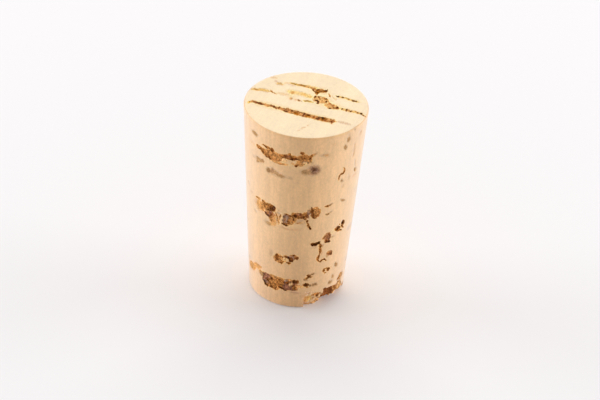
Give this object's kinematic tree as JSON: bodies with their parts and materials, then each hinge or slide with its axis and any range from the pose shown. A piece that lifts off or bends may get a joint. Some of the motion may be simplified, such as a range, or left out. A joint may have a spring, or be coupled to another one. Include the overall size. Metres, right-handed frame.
{
  "type": "cork stopper",
  "caption": "Tapered one-piece natural cork stopper for plugging a round neck or bore, with open pores and a chipped lower edge.",
  "frame": {"origin": "centre of the narrow end, on which the stopper stands", "axes": "+Z along the axis from the narrow end to the wide end; +X along the pores of the cork; the chipped stretch of the lower edge lies towards +X -Y"},
  "size_m": [0.022, 0.022, 0.038],
  "materials": {
    "cork": "bare natural cork, matt, speckled, with darker brown pores"
  },
  "bodies": {
    "root": {"stopper": "cork"}
  },
  "joints": []
}
